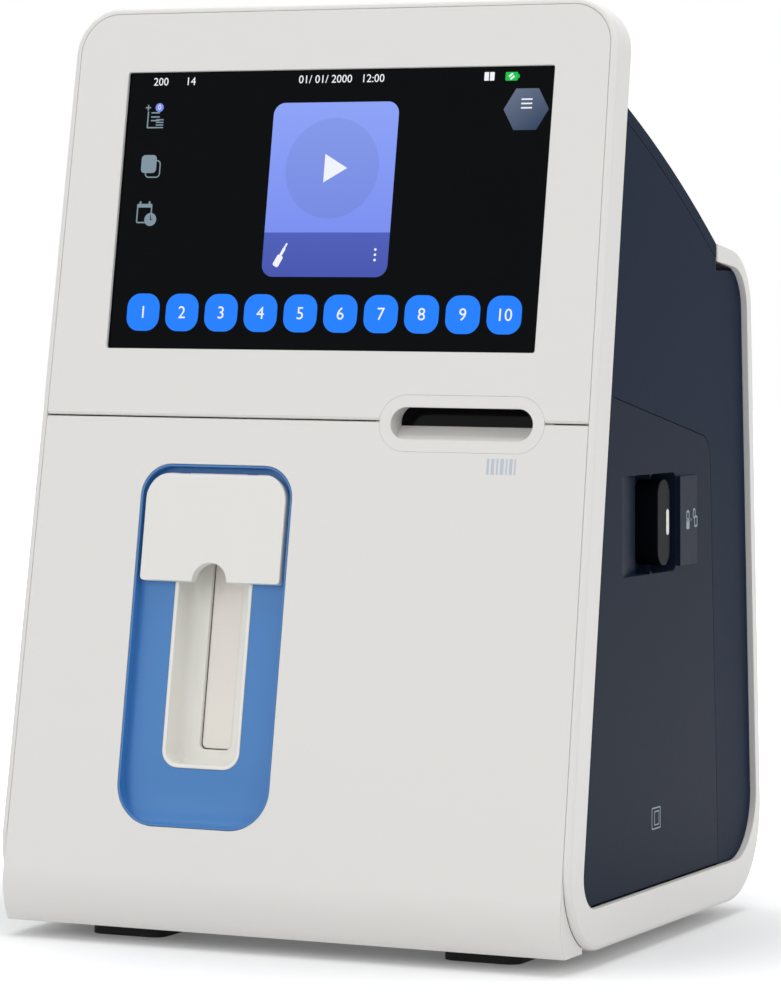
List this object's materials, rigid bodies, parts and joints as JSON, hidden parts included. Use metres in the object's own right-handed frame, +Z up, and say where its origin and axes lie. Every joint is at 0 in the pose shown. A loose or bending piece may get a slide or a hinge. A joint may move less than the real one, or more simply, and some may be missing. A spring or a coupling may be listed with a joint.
{
  "type": "electrolyte analyzer",
  "caption": "Benchtop electrolyte analyzer with a leaning touchscreen front, blue sampler recess with flap, scanner slot and dark side door over a cartridge.",
  "frame": {"origin": "middle of the footprint, on the surface the feet stand on", "axes": "+Z up, -Y out of the leaning front with the screen, +X out of the side with the cartridge door"},
  "size_m": [0.23, 0.2107, 0.3493],
  "materials": {
    "warm_white_plastic": "satin",
    "navy_plastic": "satin",
    "blue_plastic": "satin",
    "ivory_plastic": "satin",
    "black_plastic": "matte",
    "dark_window": "gloss",
    "clear_cover": "gloss",
    "steel": "brushed",
    "sheet_steel": "satin",
    "board_green": "satin",
    "rubber": "matte",
    "grey_plastic": "matte",
    "bag_film": "satin",
    "tube_silicone": "satin",
    "battery_wrap": "satin"
  },
  "bodies": {
    "housing": {"housing_shell": "warm_white_plastic", "top_cover": "navy_plastic", "side_panel_left": "navy_plastic", "side_panel_right": "navy_plastic", "rear_cover": "grey_plastic", "housing_screws": "steel", "base_tray": "sheet_steel", "feet": "rubber", "chassis_plate": "sheet_steel", "front_cover_upper": "warm_white_plastic", "front_cover_lower": "warm_white_plastic", "display_glass": "clear_cover", "display_panel": "black_plastic", "display_bracket": "sheet_steel", "display_board": "board_green", "scanner_bezel": "warm_white_plastic", "scanner_window": "dark_window", "scan_engine": "black_plastic", "sampler_surround": "blue_plastic", "probe_trough": "ivory_plastic", "sampler_bracket": "sheet_steel", "sampler_motor": "steel", "rinse_port": "ivory_plastic", "hinge_brackets": "black_plastic", "latch_keeper": "black_plastic", "cartridge_bay": "grey_plastic", "cartridge_port": "grey_plastic", "pump_head": "black_plastic", "pump_motor": "steel", "pump_tube": "tube_silicone", "board_standoffs": "grey_plastic", "main_board": "board_green", "power_supply": "sheet_steel", "battery_pack": "battery_wrap", "valve_block": "grey_plastic", "solenoids": "steel", "connector_panel": "sheet_steel", "rear_ports": "black_plastic", "switch_frame": "black_plastic", "fan_frame": "black_plastic"},
    "door": {"cartridge_door": "navy_plastic", "door_pins": "steel"},
    "latch": {"latch_slider": "navy_plastic", "latch_mark": "warm_white_plastic"},
    "cartridge": {"cartridge_case": "grey_plastic", "cartridge_lid": "grey_plastic", "reagent_bags": "bag_film", "waste_bag": "bag_film", "sensor_card": "grey_plastic"},
    "flap": {"sampler_flap": "warm_white_plastic", "flap_pin": "steel"},
    "arm": {"probe_arm": "ivory_plastic", "arm_shaft": "steel", "sample_probe": "steel"},
    "rotor": {"pump_rotor": "steel"},
    "roller_1": {"pump_roller_1": "grey_plastic"},
    "roller_2": {"pump_roller_2": "grey_plastic"},
    "roller_3": {"pump_roller_3": "grey_plastic"},
    "fan": {"fan_rotor": "black_plastic"},
    "switch": {"power_switch": "black_plastic"}
  },
  "joints": [
    {"name": "door_hinge", "type": "hinge", "parent": "housing", "child": "door", "pos_m": [0.11013, -0.06723, 0.10076], "axis": [0.0133, -0.1629, -0.9866], "range_deg": [0, 95]},
    {"name": "latch_slide", "type": "slide", "parent": "door", "child": "latch", "axis": [0, -1, 0], "range_m": [0, 0.007]},
    {"name": "cartridge_slide", "type": "slide", "parent": "housing", "child": "cartridge", "axis": [1, 0, 0], "range_m": [0, 0.05]},
    {"name": "flap_hinge", "type": "hinge", "parent": "housing", "child": "flap", "pos_m": [-0.036, -0.07764, 0.17217], "axis": [-1, 0, 0], "range_deg": [0, 75]},
    {"name": "arm_swing", "type": "hinge", "parent": "housing", "child": "arm", "pos_m": [-0.036, -0.0605, 0.1514], "axis": [-1, 0, 0], "range_deg": [0, 30]},
    {"name": "pump_spin", "type": "hinge", "parent": "housing", "child": "rotor", "pos_m": [0.021, -0.008, 0.211], "axis": [1, 0, 0], "continuous": true},
    {"name": "roller_1_spin", "type": "hinge", "parent": "rotor", "child": "roller_1", "pos_m": [0.021, -0.008, 0.2215], "axis": [1, 0, 0], "continuous": true},
    {"name": "roller_2_spin", "type": "hinge", "parent": "rotor", "child": "roller_2", "pos_m": [0.021, -0.01709, 0.20575], "axis": [1, 0, 0], "continuous": true},
    {"name": "roller_3_spin", "type": "hinge", "parent": "rotor", "child": "roller_3", "pos_m": [0.021, 0.00109, 0.20575], "axis": [1, 0, 0], "continuous": true},
    {"name": "fan_spin", "type": "hinge", "parent": "housing", "child": "fan", "pos_m": [-0.05, 0.08991, 0.17019], "axis": [0, 0.9984, 0.0563], "continuous": true},
    {"name": "switch_rock", "type": "hinge", "parent": "housing", "child": "switch", "pos_m": [-0.034, 0.09983, 0.06358], "axis": [1, 0, 0], "range_deg": [-8, 8]}
  ],
  "couplings": [
    {"joint": "cartridge_slide", "follows": "door_hinge", "m_per_rad": 0.03015},
    {"joint": "arm_swing", "follows": "flap_hinge", "ratio": 0.4}
  ]
}
